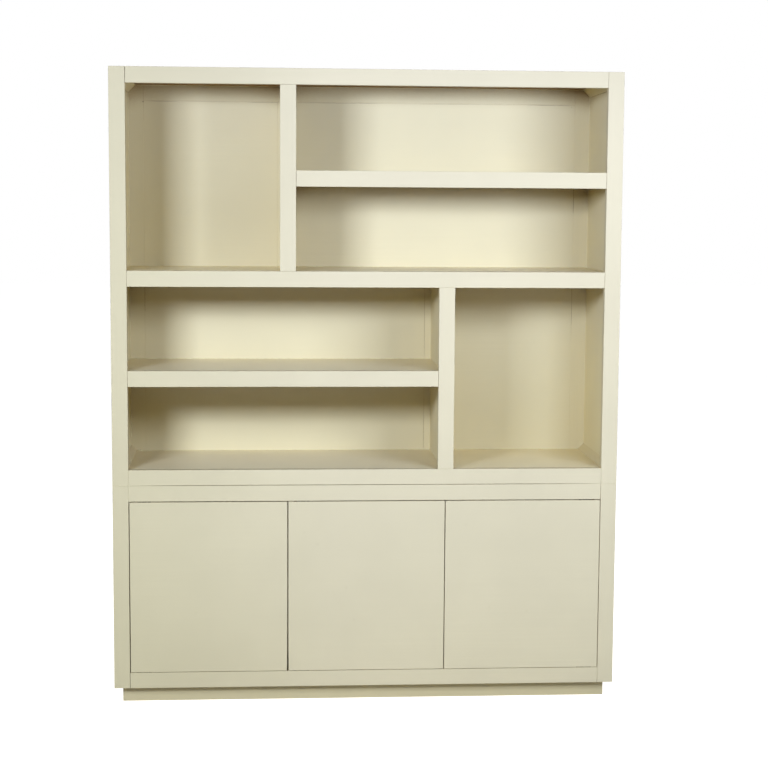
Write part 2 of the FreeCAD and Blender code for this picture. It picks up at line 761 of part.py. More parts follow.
def latch(side, face_x, outward):
    """A push latch on one face of a partition: housing, plunger, strike plate and screws."""
    x0 = face_x - latch_w if outward < 0 else face_x
    housing_body = slab(f"{side}_latch", (x0, x0 + latch_w), (latch_front, latch_front + latch_l),
                        (latch_z - latch_h / 2, latch_z + latch_h / 2))
    free_x = 0.0 if outward < 0 else latch_w.value
    dress(housing_body, "Chamfer", "Size", mm(2),
          lambda point: abs(point.x - free_x) < 1e-6 and (point.z < 1e-6 or point.z > latch_h.value - 1e-6))
    bore_centre = [(latch_w / 2, latch_h / 2)]
    drill(housing_body, "XZ_Plane", ZERO, bore_centre, plunger_r + plunger_play, bore_l,
          sides=LATCH_BORE_SIDES)
    mouth = ZERO if outward < 0 else latch_w
    spot = [(latch_screw_y, latch_h / 2)]
    screw_holes(housing_body, "YZ_Plane", mouth, spot, screw_head_r, latch_w - latch_floor, outward < 0)
    screw_holes(housing_body, "YZ_Plane", mouth, spot, screw_r, latch_w, outward < 0)
    seat = (face_x + latch_floor * outward, latch_front + latch_screw_y, latch_z)
    name = f"{side}_latch_screw"
    screw = pan_screw(name, seat, "YZ_Plane", outward > 0, screw_r, screw_head_r, latch_screw_l)
    axis_x = x0 + latch_w / 2
    plunger = new_body(f"{side}_plunger", (axis_x, plunger_y0, latch_z))
    plunger_sketch = sketch_on(plunger, "XZ_Plane")
    draw_circle(plunger_sketch, ZERO, ZERO, plunger_r)
    pad(plunger, plunger_sketch, plunger_l, backwards=True)
    dress(plunger, "Chamfer", "Size", arris, lambda point: abs(point.y) < 1e-6)
    strike = slab(f"{side}_strike", (axis_x - strike_r, axis_x + strike_r),
                  (front + door_t, front + door_t + strike_t), (latch_z - strike_r, latch_z + strike_r))
    dress(strike, "Chamfer", "Size", arris, lambda point: abs(point.y - strike_t.value) < 1e-6)
    return housing_body, plunger, strike, screw


for label, index in (("door_left", 0), ("door_middle", 1)):
    keep(make_door(label, door_span(index)))
keep(mirrored(nodes[-2], "door_right_mirror", ORIGIN, ACROSS), "door_right")

frame_leaves = []
carcass_screws = []
for side, index in (("left", 0), ("middle", 1)):
    leaves, screws, fixed, fixed_screws = door_hardware(side, door_span(index)[0])
    keep(group(f"pivot_leaves_{side}", leaves))
    keep(group(f"pivot_screws_{side}", screws))
    frame_leaves += fixed
    carcass_screws += fixed_screws
    if side == "left":
        for stem, members in (("pivot_leaves", leaves), ("pivot_screws", screws)):
            images = [mirrored(one, one.Name + "_right", ORIGIN, ACROSS) for one in members]
            keep(group(f"{stem}_right", images))
        frame_leaves += [mirrored(one, one.Name + "_right", ORIGIN, ACROSS) for one in fixed]
        carcass_screws += [mirrored(one, one.Name + "_right", ORIGIN, ACROSS) for one in fixed_screws]
keep(group("frame_pivots", frame_leaves))

housings = []
latch_screws = []
for side, face_x, outward in (("left", -divider_x - half_board, -1), ("middle", divider_x - half_board, -1),
                              ("right", divider_x + half_board, 1)):
    housing_body, plunger, strike, screw = latch(side, face_x, outward)
    housings.append(housing_body)
    latch_screws.append(screw)
    keep(plunger, f"latch_plunger_{side}")
    keep(strike, f"strike_plate_{side}")
keep(group("latch_housings", housings))
keep(group("latch_screws", latch_screws))
keep(group("pivot_frame_screws", carcass_screws))

unit_screws = []
for x in unit_screw_x:
    for y in unit_screw_rows:
        name = f"unit_screw_{len(unit_screws)}"
        seat = (x, y, base_top_z - panel)
        unit_screws.append(pan_screw(name, seat, "XY_Plane", False, unit_screw_r, unit_head_r, unit_screw_l))
keep(group("unit_screws", unit_screws))

# ---------------------------------------------------------------- face frame of the base unit

leaf_starts = (door_span(0)[0] + pivot_in, door_span(1)[0] + pivot_in)


def cut_frame_mortises(rail, mouth, upwards):
    """Mortises and screw holes in a rail for the frame leaves of the three doors."""
    corner_x = -opening_x
    starts = [(x - corner_x, leaf_l) for x in leaf_starts]
    starts.append((-leaf_starts[0] - corner_x, -leaf_l))
    holes = [(x + spot - corner_x, pivot_back) for x in leaf_starts for spot in screw_spots]
    holes += [(-leaf_starts[0] - spot - corner_x, pivot_back) for spot in screw_spots]
    for x, length in starts:
        cut_mortise(rail, x, pivot_back, length, mouth, upwards)
    screw_holes(rail, "XY_Plane", mouth, holes, screw_r, screw_l + mm(1), upwards)


for label, x in (("base_stile_left", left_stile_x), ("base_stile_right", right_stile_x)):
    keep(member_piece(label, x, (floor_gap, base_top_z)))

top_rail = member_piece("base_top_rail", between, (opening_z1, base_top_z))
cut_frame_mortises(top_rail, ZERO, True)
keep(top_rail)

bottom_rail = member_piece("base_bottom_rail", between, (floor_gap, opening_z0))
cut_frame_mortises(bottom_rail, member, False)
keep(bottom_rail)

# ---------------------------------------------------------------- plinth

plinth_y0 = front + plinth_setback
plinth_z = (ZERO, opening_z0 - panel)
plinth_inner = (plinth_y0 + panel, back_face - panel)
keep(slab("plinth_front", (-side_in, side_in), (plinth_y0, plinth_y0 + panel), plinth_z))
keep(slab("plinth_back", (-side_in, side_in), (back_face - panel, back_face), plinth_z))
plinth_side = slab("plinth_side", (-side_in, -side_in + panel), plinth_inner, plinth_z)
keep(group("plinth_sides", [plinth_side, mirrored(plinth_side, "plinth_side_right", ORIGIN, ACROSS)]))

block_leg = mm(60)
block = new_body("corner_block", (-side_in + panel, plinth_inner[0], ZERO))
block_sketch = sketch_on(block, "XY_Plane")
draw_polygon(block_sketch, [(ZERO, ZERO), (block_leg, ZERO), (ZERO, block_leg)])
pad(block, block_sketch, plinth_z[1])
block_mid = (ZERO, (plinth_inner[0] + plinth_inner[1]) / 2, ZERO)
right_block = mirrored(block, "corner_block_right", ORIGIN, ACROSS)
rear_blocks = [mirrored(one, one.Name + "_rear", block_mid, ALONG) for one in (block, right_block)]
keep(group("plinth_corner_blocks", [block, right_block] + rear_blocks))

# ---------------------------------------------------------------- check and write the parts

doc.recompute()
for item in doc.Objects:
    if "Invalid" in item.State or "Error" in item.State:
        raise RuntimeError(f"{item.Label} failed: {item.State}")
for item in nodes:
    if item.Shape.isNull() or not item.Shape.isValid():
        raise RuntimeError(f"{item.Label} has no valid shape")

os.makedirs("parts", exist_ok=True)
for item in nodes:
    item.Shape.exportStep(f"parts/{item.Label}.step")
    solids = len(item.Shape.Solids)
    print(f"{item.Label}: {solids} solid(s), {item.Shape.Volume / 1000:.1f} cm3")
print(len(nodes), "nodes")
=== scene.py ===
"""Looks of the painted bookcase with cabinet doors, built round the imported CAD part.

Lengths are metres in the part's own frame: X to the right, Y to the back, Z up. The small forms on the
back and the front's uneven edges are given in millimetres, and say so.
"""
import json
import math
import random

import bmesh
import bpy
from mathutils import Matrix, Vector


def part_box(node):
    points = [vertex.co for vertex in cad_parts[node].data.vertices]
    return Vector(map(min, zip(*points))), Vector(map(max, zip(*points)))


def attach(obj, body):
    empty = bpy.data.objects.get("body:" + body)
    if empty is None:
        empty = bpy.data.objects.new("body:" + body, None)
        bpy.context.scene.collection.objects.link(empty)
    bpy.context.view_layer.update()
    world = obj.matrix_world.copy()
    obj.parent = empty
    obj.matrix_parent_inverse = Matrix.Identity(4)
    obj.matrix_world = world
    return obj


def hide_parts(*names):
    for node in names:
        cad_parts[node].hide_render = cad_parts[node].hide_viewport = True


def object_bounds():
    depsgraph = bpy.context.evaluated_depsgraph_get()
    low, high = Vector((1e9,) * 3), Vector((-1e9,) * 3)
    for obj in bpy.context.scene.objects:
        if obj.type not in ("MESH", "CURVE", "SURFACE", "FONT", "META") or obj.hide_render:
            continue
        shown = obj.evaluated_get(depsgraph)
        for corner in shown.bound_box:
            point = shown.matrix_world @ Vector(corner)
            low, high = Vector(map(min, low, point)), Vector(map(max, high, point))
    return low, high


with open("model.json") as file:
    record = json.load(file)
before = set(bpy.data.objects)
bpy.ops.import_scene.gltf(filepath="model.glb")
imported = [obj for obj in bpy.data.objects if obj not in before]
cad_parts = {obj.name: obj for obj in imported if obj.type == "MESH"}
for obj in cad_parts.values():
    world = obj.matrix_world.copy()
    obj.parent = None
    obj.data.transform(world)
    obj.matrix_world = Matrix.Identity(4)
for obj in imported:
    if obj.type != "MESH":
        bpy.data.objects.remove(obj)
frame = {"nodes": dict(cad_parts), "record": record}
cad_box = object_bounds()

NODES = frame["nodes"]
SLOTS = {part["node"]: part["material_slot"] for part in frame["record"]["subparts"]}
BODY_OF = {node: body for body, nodes in frame["record"]["behaviour"]["bodies"].items() for node in nodes}
MM = 0.001
FRONT_FACE = cad_box[0][1]

# ---------------------------------------------------------------- camera

CAMERA_PLACE = Vector((-0.3145, -5.4699, 1.5646))
CAMERA_YAW = math.radians(3.999)     # to the right of +Y
CAMERA_PITCH = math.radians(5.898)   # below the horizon
CAMERA_ROLL = math.radians(-0.368)   # about the line of sight
LENS_MM = 78.63
SENSOR_MM = 36.0


def add_camera():
    """The photographer's camera, a little left of the middle and looking slightly down."""
    level = math.cos(CAMERA_PITCH)
    ahead = Vector((math.sin(CAMERA_YAW) * level, math.cos(CAMERA_YAW) * level, -math.sin(CAMERA_PITCH)))
    level_right = Vector((math.cos(CAMERA_YAW), -math.sin(CAMERA_YAW), 0.0))
    level_down = ahead.cross(level_right)
    right = level_right * math.cos(CAMERA_ROLL) + level_down * math.sin(CAMERA_ROLL)
    down = level_down * math.cos(CAMERA_ROLL) - level_right * math.sin(CAMERA_ROLL)
    data = bpy.data.cameras.new("camera")
    data.lens = LENS_MM
    data.sensor_width = SENSOR_MM
    camera = bpy.data.objects.new("camera", data)
    turn = Matrix((right, -down, -ahead)).transposed().to_4x4()
    camera.matrix_world = Matrix.Translation(CAMERA_PLACE) @ turn
    bpy.context.scene.collection.objects.link(camera)
    bpy.context.scene.camera = camera


# ---------------------------------------------------------------- shader nodes

WHITE = (1, 1, 1, 1)


def add_node(tree, kind, inputs=None, **settings):
    """A shader node with its settings, and its inputs set to values or linked to sockets."""
    node = tree.nodes.new("ShaderNode" + kind)
    for key, value in settings.items():
        setattr(node, key, value)
    for key, value in (inputs or {}).items():
        if isinstance(value, bpy.types.NodeSocket):
            tree.links.new(value, node.inputs[key])
        else:
            node.inputs[key].default_value = value
    return node


def seen_or_mirrored(tree):
    """1 for what the camera sees straight on, in gloss or through glass, and 0 for light."""
    path = add_node(tree, "LightPath").outputs
    mirrored = add_node(tree, "Math", {0: path["Is Glossy Ray"], 1: path["Is Transmission Ray"]},
                        operation="MAXIMUM").outputs[0]
    return add_node(tree, "Math", {0: path["Is Camera Ray"], 1: mirrored}, operation="MAXIMUM").outputs[0]


def mix_colour(tree, factor, first, second, blend="MIX"):
    """The colour between first and second, by factor. The node's sockets 6, 7 and 2 are its colours."""
    inputs = {0: factor, 6: first, 7: second}
    return add_node(tree, "Mix", inputs, data_type="RGBA", blend_type=blend).outputs[2]


def ranged(tree, value, low, high, to_low=0.0, to_high=1.0):
    """value from low..high spread over to_low..to_high, and held there outside."""
    inputs = {"Value": value, "From Min": low, "From Max": high, "To Min": to_low, "To Max": to_high}
    return add_node(tree, "MapRange", inputs).outputs[0]


def noise(tree, where, scale, detail):
    """Soft noise with about scale lumps to the metre, and detail finer layers on top."""
    return add_node(tree, "TexNoise", {"Vector": where, "Scale": scale, "Detail": detail}).outputs["Fac"]


def new_material(name):
    """A material with its node tree and the shader in it."""
    material = bpy.data.materials.new(name)
    material.use_nodes = True
    return material, material.node_tree, material.node_tree.nodes["Principled BSDF"]


# ---------------------------------------------------------------- studio

AIM = Vector((0.0, FRONT_FACE, 1.2))  # on the front, a little above its middle
SOFTBOXES = {                         # place, width, height, power in watts
    "softbox_left": (Vector((-1.744, -3.296, 2.004)), 0.86, 0.48, 88.0),
    "softbox_right": (Vector((1.27, -2.12, 1.847)), 1.09, 0.48, 34.0),
    "softbox_behind_left": (Vector((-2.2, 2.5, 3.8)), 1.2, 1.2, 40.0),
    "softbox_behind_right": (Vector((2.2, 2.5, 3.8)), 1.2, 1.2, 70.0),
}
AMBIENT = 0.005                       # the strength of the light from all round
FLOOR_REACH = 30.0
FLOOR_GREY = 0.82                     # what the floor throws back on to the object


def add_softboxes():
    """Two softboxes before the front, at about the height of the top, and two higher ones for the rear."""
    for name, (place, width, height, power) in SOFTBOXES.items():
        data = bpy.data.lights.new(name, "AREA")
        data.shape = "RECTANGLE"
        data.size, data.size_y = width, height
        data.energy = power
        lamp = bpy.data.objects.new(name, data)
        lamp.location = place
        lamp.visible_camera = False
        lamp.rotation_mode = "QUATERNION"
        lamp.rotation_quaternion = (AIM - place).to_track_quat("-Z", "Y")
        bpy.context.scene.collection.objects.link(lamp)


def add_world():
    """White behind the object, also in its gloss, and a low even light from all round."""
    world = bpy.data.worlds.new("studio")
    world.use_nodes = True
    bpy.context.scene.world = world
    tree = world.node_tree
    tree.nodes.clear()
    ambient = add_node(tree, "Background", {"Color": WHITE, "Strength": AMBIENT})
    white = add_node(tree, "Background", {"Color": WHITE, "Strength": 1.0})
    mix = add_node(tree, "MixShader", {0: seen_or_mirrored(tree), 1: ambient.outputs[0], 2: white.outputs[0]})
    add_node(tree, "OutputWorld", {"Surface": mix.outputs[0]})


def add_floor():
    """A plain pale floor that the camera sees as white, and that throws some light back up."""
    mesh = bpy.data.meshes.new("floor")
    reach = FLOOR_REACH
    corners = [(-reach, -reach, 0), (reach, -reach, 0), (reach, reach, 0), (-reach, reach, 0)]
    mesh.from_pydata(corners, [], [(0, 1, 2, 3)])
    floor = bpy.data.objects.new("floor", mesh)
    bpy.context.scene.collection.objects.link(floor)
    material = bpy.data.materials.new("floor")
    material.use_nodes = True
    tree = material.node_tree
    tree.nodes.clear()
    matt = add_node(tree, "BsdfDiffuse", {"Color": (FLOOR_GREY, FLOOR_GREY, FLOOR_GREY, 1)})
    lift = add_node(tree, "Emission", {"Color": WHITE, "Strength": seen_or_mirrored(tree)})
    both = add_node(tree, "AddShader", {0: matt.outputs[0], 1: lift.outputs[0]})
    add_node(tree, "OutputMaterial", {"Surface": both.outputs[0]})
    mesh.materials.append(material)


# ---------------------------------------------------------------- finishes

CREAM = (0.676, 0.657, 0.554)         # the front's paint
PLINTH_CREAM_SHADED = (0.59, 0.565, 0.43)       # painted shade: a darker copy of the paint for the plinth, set back under the base
INSIDE_CREAM_LIT = (0.80, 0.80, 0.655)    # painted light: a lighter copy of the front's paint, for the back and the boards inside
BATTEN_CREAM_SHADED = (0.74, 0.72, 0.57)     # painted shade: a darker copy of the paint for the corner battens, in the shade of the corners
SHELF_CREAM_LIT = (0.92, 0.915, 0.79)     # painted light: a lighter copy of the paint for the shelves' tops, for the light and sheen they catch
SHADE_KHAKI = (0.35, 0.27, 0.111)           # painted shade: the colour deep in a recess and under the boards above
SHADE_UMBER = (0.24, 0.13, 0.047)           # painted shade: the colour in the deepest corners
FALLOFF_SHADE_LOW = (1.0, 0.99, 0.91)          # painted shade: what is left of the colour near the floor, where the light falls off most
FALLOFF_SHADE_HEIGHTS = (0.2, 1.9)               # the heights at which that painted shade is full and gone
FALLOFF_SHADE_LEFT = (0.89, 0.89, 0.83)        # painted shade: what is left of the colour at the left edge of the front, where the light falls off
FALLOFF_SHADE_SPAN = (-0.8, -0.1)              # from that edge to where the painted shade ends, in X
BOUNCE_SHADE_TINT = (0.85, 0.68, 0.27)           # painted shade: the browner colour the paint gives light bounced on to other paint
BOUNCE_SHADE_TINT_SHELF = (0.88, 0.76, 0.48)      # the same painted shade, paler, for the shelves
SHADE_REACH = 0.16                   # how near a board has to be to cast painted shade on the paint
AO_SAMPLES = 16
SHADE_LIFT = 1.17                      # turns the look-out for such boards upwards, so the painted shade falls under boards, a normal being 1 long
SHADE_LIMITS = (0.21, 0.0)                 # the open shares at which the painted shade starts and is full
DEEP_SHADE_LIMITS = (0.10, 0.0)                 # the same for the umber painted shade
DARKER = 0.94                         # the colour of thin places in the coat, of the full colour
CLOUD_SCALE, FINE_SCALE = 2.4, 700.0  # lumps to the metre: broad clouds, and the skin of the paint
ALONG = {                             # the scale of brush strokes, drawn out along one axis
    "x": (3.0, 150.0, 150.0), "y": (150.0, 3.0, 150.0), "z": (150.0, 150.0, 3.0),
}
STROKES_SHOW = 0.35                   # how strongly brush strokes show in the colour
STROKE_HEIGHT = 0.4 * MM
MIDDLE, WIDE = (0.35, 0.65), (0.3, 0.7)          # noise values spread over a full range, steeply or gently
DOOR_MARKS = (                        # middle in X and Z and reach, all in millimetres, and strength
    (-541, 292, 7, 0.10), (-199, 548, 6, 0.07), (-156, 511, 9, 0.10), (-102, 348, 7, 0.05),
    (-64, 369, 8, 0.08), (-39, 266, 7, 0.10), (223, 168, 4, 0.12), (317, 569, 7, 0.08),
    (395, 302, 8, 0.09), (515, 287, 8, 0.09),
)
RUBBED = (0.42, 0.39, 0.28)           # the colour of those marks


def with_marks(tree, where, shown):
    """The colour with the doors' faint thumb and knock marks, each fading out to its reach."""
    for x, z, reach, strength in DOOR_MARKS:
        middle = (x * MM, FRONT_FACE, z * MM)
        away = add_node(tree, "VectorMath", {0: where, 1: middle}, operation="DISTANCE").outputs["Value"]
        share = ranged(tree, away, reach * MM, 0.0, 0.0, strength)
        shown = mix_colour(tree, share, shown, (*RUBBED, 1))
    return shown


def painted_shade(tree, shown, share):
    """The colour darkened by painted shade where boards above and in front shelter it, by up to share."""
    facing = add_node(tree, "NewGeometry").outputs["Normal"]
    lifted = add_node(tree, "VectorMath", {0: facing, 1: (0.0, 0.0, SHADE_LIFT)}, operation="ADD").outputs[0]
    outlook = add_node(tree, "VectorMath", {0: lifted}, operation="NORMALIZE").outputs[0]
    sheltered = {"Distance": SHADE_REACH, "Normal": outlook}
    open_share = add_node(tree, "AmbientOcclusion", sheltered, samples=AO_SAMPLES).outputs["AO"]
    # Painted shade: khaki, then umber, mixed in where boards above and in front shelter the paint.
    for limits, shade_colour in ((SHADE_LIMITS, SHADE_KHAKI), (DEEP_SHADE_LIMITS, SHADE_UMBER)):
        shown = mix_colour(tree, ranged(tree, open_share, *limits, 0.0, share), shown, (*shade_colour, 1))
    return shown


def painted_falloff(tree, where, shown, from_left):
    """The colour with painted shade of the falling light: yellower towards the floor, and darker towards the
    left edge too if from_left says so.
    """
    place = add_node(tree, "SeparateXYZ", {0: where}).outputs
    if from_left:
        # Painted shade: darker towards the left edge of the front, where the light falls off.
        left_shade = mix_colour(tree, ranged(tree, place["X"], *FALLOFF_SHADE_SPAN), (*FALLOFF_SHADE_LEFT, 1), WHITE)
        shown = mix_colour(tree, 1.0, shown, left_shade, "MULTIPLY")
    # Painted shade: yellower towards the floor, where the light falls off.
    low_shade = mix_colour(tree, ranged(tree, place["Z"], *FALLOFF_SHADE_HEIGHTS), (*FALLOFF_SHADE_LOW, 1), WHITE)
    return mix_colour(tree, 1.0, shown, low_shade, "MULTIPLY")


def paint(name, grain, colour=CREAM, shade_share=0.0, gloss=0.1, rough=(0.42, 0.54), relief=0.25, bounce_shade=BOUNCE_SHADE_TINT,
          marked=False):
    """Satin paint, brushed along the grain axis.

    The shade share darkens sheltered places with painted shade; paint without it also gets the painted shade
    at the left of the front.
    gloss, rough and relief are its sheen, its roughness from place to place and its brush marks. Its bounce
    tint is painted shade that browns the light it passes on to other paint, and marked adds the marks of the
    doors.
    """
    material, tree, shader = new_material(name)
    where = add_node(tree, "TexCoord").outputs["Object"]
    stretched = add_node(tree, "Mapping", {"Vector": where, "Scale": ALONG[grain]}).outputs[0]
    strokes = noise(tree, stretched, 1.0, 3.0)
    cloud = noise(tree, where, CLOUD_SCALE, 3.0)
    fine = noise(tree, where, FINE_SCALE, 1.0)
    thin = [c * DARKER for c in colour]
    shown = mix_colour(tree, ranged(tree, cloud, *MIDDLE), (*thin, 1), (*colour, 1))
    shown = mix_colour(tree, ranged(tree, strokes, *WIDE, 0.0, STROKES_SHOW), shown, (*thin, 1))
    if marked:
        shown = with_marks(tree, where, shown)
    # Painted shade: browner and darker where boards shelter the paint.
    if shade_share:
        shown = painted_shade(tree, shown, shade_share)
    # Painted shade of the light's falloff over the object.
    shown = painted_falloff(tree, where, shown, from_left=not shade_share)
    # Painted shade: light bounced from this paint on to other paint is tinted browner.
    bounced = add_node(tree, "LightPath").outputs["Is Diffuse Ray"]
    shown = mix_colour(tree, bounced, shown, (*bounce_shade, 1), "MULTIPLY")
    tree.links.new(shown, shader.inputs["Base Color"])
    tree.links.new(ranged(tree, cloud, *WIDE, *rough), shader.inputs["Roughness"])
    height = add_node(tree, "Math", {0: strokes, 1: fine}, operation="ADD").outputs[0]
    bump = add_node(tree, "Bump", {"Height": height, "Strength": relief, "Distance": STROKE_HEIGHT})
    tree.links.new(bump.outputs[0], shader.inputs["Normal"])
    shader.inputs["Specular IOR Level"].default_value = gloss
    return material


SPOT_SCALE = 300.0                    # lumps to the metre on a fitting
SPOT_DARKER = 0.86                    # the colour of its darker spots, of the full colour
SPOT_ROUGH = (0.85, 1.15)             # its roughness from spot to spot, of the given one


def plain(name, colour, roughness, metallic=0.0):
    """A fitting's finish: metal or plastic, with a little unevenness."""
    material, tree, shader = new_material(name)
    where = add_node(tree, "TexCoord").outputs["Object"]
    spots = noise(tree, where, SPOT_SCALE, 2.0)
    dark = [c * SPOT_DARKER for c in colour]
    uneven = mix_colour(tree, ranged(tree, spots, *MIDDLE), (*dark, 1), (*colour, 1))
    tree.links.new(uneven, shader.inputs["Base Color"])
    limits = [roughness * share for share in SPOT_ROUGH]
    tree.links.new(ranged(tree, spots, *WIDE, *limits), shader.inputs["Roughness"])
    shader.inputs["Metallic"].default_value = metallic
    return material


RING_STRETCH = (2.0, 60.0, 60.0)      # the rings of the softwood run along X
RING_SCALE = 1.5
LATE_WOOD, EARLY_WOOD = (0.50, 0.34, 0.17), (0.66, 0.50, 0.30)
WOOD_ROUGH = 0.7


def softwood():
    """Planed bare softwood, with its yearly rings."""
    material, tree, shader = new_material("bare_softwood")
    where = add_node(tree, "TexCoord").outputs["Object"]
    stretched = add_node(tree, "Mapping", {"Vector": where, "Scale": RING_STRETCH}).outputs[0]
    rings = noise(tree, stretched, RING_SCALE, 3.0)
    colour = mix_colour(tree, ranged(tree, rings, *MIDDLE), (*LATE_WOOD, 1), (*EARLY_WOOD, 1))
    tree.links.new(colour, shader.inputs["Base Color"])
    shader.inputs["Roughness"].default_value = WOOD_ROUGH
    return material


MATERIALS = {
    "frame_level": paint("paint_frame_level", "x"),
    "frame_upright": paint("paint_frame_upright", "z"),
    "door": paint("paint_door", "x", marked=True),
    # The inside paints are lighter copies of the front's, painted light.
    "inside_level": paint("paint_inside_level", "x", INSIDE_CREAM_LIT, shade_share=1.0),
    "inside_upright": paint("paint_inside_upright", "z", INSIDE_CREAM_LIT, shade_share=1.0),
    # The shelf paint is a lighter copy, painted light and sheen on the shelves' tops.
    "shelf": paint("paint_shelf", "x", SHELF_CREAM_LIT, shade_share=1.0, gloss=0.5, rough=(0.28, 0.31), relief=0.05,
                   bounce_shade=BOUNCE_SHADE_TINT_SHELF),
    # The batten paint is a darker copy, painted shade in the corners.
    "batten": paint("paint_batten", "y", BATTEN_CREAM_SHADED, shade_share=0.3),
    # The plinth paint is a darker copy, painted shade under the base.
    "plinth": paint("paint_plinth", "x", PLINTH_CREAM_SHADED, shade_share=1.0),
    "crack": plain("dark_crack", (0.10, 0.07, 0.035), 0.9),
    "brass": plain("aged_brass", (0.20, 0.15, 0.08), 0.45, 1.0),
    "steel": plain("zinc_plated_steel", (0.62, 0.62, 0.63), 0.35, 1.0),
    "latch_plastic": plain("latch_plastic", (0.72, 0.72, 0.69), 0.5),
    "latch_plunger": plain("latch_plunger_plastic", (0.30, 0.30, 0.31), 0.45),
    "bare_softwood": softwood(),
}
SHELF_BOARDS = ("upper_bottom", "middle_shelf", "upper_half_shelf", "lower_half_shelf")
UPRIGHT_BOARDS = ("side", "divider", "stile", "partition", "mullion")


def finish_of(node):
    """The material of a CAD node, by its slot and the way its board runs."""
    slot = SLOTS[node]
    upright = any(word in node for word in UPRIGHT_BOARDS)
    if slot == "painted_frame":
        return MATERIALS["frame_upright" if upright else "frame_level"]
    if slot == "painted_doors":
        return MATERIALS["door"]
    if slot == "painted_plinth":
        return MATERIALS["plinth"]
    if node == "corner_battens":
        return MATERIALS["batten"]
    if slot == "painted_carcass":
        level = "shelf" if node in SHELF_BOARDS else "inside_level"
        return MATERIALS["inside_upright" if upright else level]
    return MATERIALS[slot]


def finish_nodes():
    """Gives every CAD node its finish."""
    for name, node in NODES.items():
        node.data.materials.clear()
        node.data.materials.append(finish_of(name))


# ---------------------------------------------------------------- hand-finished front

STRIP = 0.05                          # about how far apart a worked copy is cut for shaping
WELDED = 1e-6                         # corners nearer than this are one corner
ON_CUT = 1e-7                         # a corner nearer to a cut than this lies on it
FLAT_BELOW = math.radians(0.5)        # triangles at less than this angle are one face
SMOOTH_BELOW = math.radians(60)       # edges at less than this angle are shaded as round
SKIN = 1.5 * MM                       # how deep the part of a board goes that moves with its edge


def worked_copy(node):
    """A node's mesh as a new piece, its triangles joined into faces and cut into strips for shaping."""
    mesh = bmesh.new()
    mesh.from_mesh(NODES[node].data)
    bmesh.ops.remove_doubles(mesh, verts=mesh.verts, dist=WELDED)
    bmesh.ops.dissolve_limit(mesh, angle_limit=FLAT_BELOW, verts=mesh.verts, edges=mesh.edges)
    low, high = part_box(node)
    for axis in (0, 2):
        cuts = round((high[axis] - low[axis]) / STRIP)
        normal = Vector((axis == 0, 0, axis == 2))
        for step in range(1, cuts):
            place = low + (high - low) * (step / cuts)
            everything = mesh.verts[:] + mesh.edges[:] + mesh.faces[:]
            bmesh.ops.bisect_plane(mesh, geom=everything, dist=ON_CUT, plane_co=place, plane_no=normal)
    return mesh


def add_piece(name, mesh, body, slot, material, *replaced):
    """A finished mesh as an object that rides on a CAD body, in place of the replaced nodes."""
    mesh.normal_update()
    for face in mesh.faces:
        face.smooth = True
    for edge in mesh.edges:
        edge.smooth = edge.calc_face_angle(math.pi) < SMOOTH_BELOW
    data = bpy.data.meshes.new(name)
    mesh.to_mesh(data)
    mesh.free()
    data.materials.append(material)
    piece = bpy.data.objects.new(name, data)
    bpy.context.scene.collection.objects.link(piece)
    weigh = piece.modifiers.new("weighted_normals", "WEIGHTED_NORMAL")
    weigh.keep_sharp = True
    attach(piece, body)
    if replaced:
        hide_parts(*replaced)
    return piece


def pull_in(mesh, box, side, depth):
    """Moves the skin at one side of the box inwards: depth says how far, from the low end to the high."""
    axis, end = {"left": (0, 0), "right": (0, 1), "bottom": (2, 0), "top": (2, 1)}[side]
    along = 2 - axis
    inward = 1 - 2 * end
    for vertex in mesh.verts:
        if abs(vertex.co[axis] - box[end][axis]) < SKIN:
            share = (vertex.co[along] - box[0][along]) / (box[1][along] - box[0][along])
            vertex.co[axis] += inward * depth(share)


HALF_WAVES = (1.5, 2.5, 3.5)          # how many half waves lie along a wandering edge, added together
FLARED = 0.45                         # the share of an edge that flares
BOW_FULLNESS = 6                      # how far the middle of a bow spreads towards its ends


def waver(seed, amount, least=0.0):
    """A hand-planed edge that wanders over amount millimetres, from least upwards."""
    rng = random.Random(seed)
    phases = [rng.uniform(0, 2 * math.pi) for _ in HALF_WAVES]

    def depth(t):
        waves = sum(math.sin(turns * math.pi * t + phase) for turns, phase in zip(HALF_WAVES, phases))
        return MM * (least + amount * (0.5 + waves / (2 * len(HALF_WAVES))))
    return depth


def bow(amount):
    """Nothing at the ends, and amount in the middle."""
    return lambda t: MM * amount * (1 - (2 * t - 1) ** BOW_FULLNESS)


def slope(first, last):
    """From first at the low end to last at the high end."""
    return lambda t: MM * (first + (last - first) * t)


def even(amount):
    """The same amount all along the edge."""
    return lambda t: MM * amount


def flare(rest, most):
    """Rest along most of the edge, and more and more up to most towards the low end."""
    return lambda t: MM * (rest + (most - rest) * max(0.0, 1 - t / FLARED) ** 2)


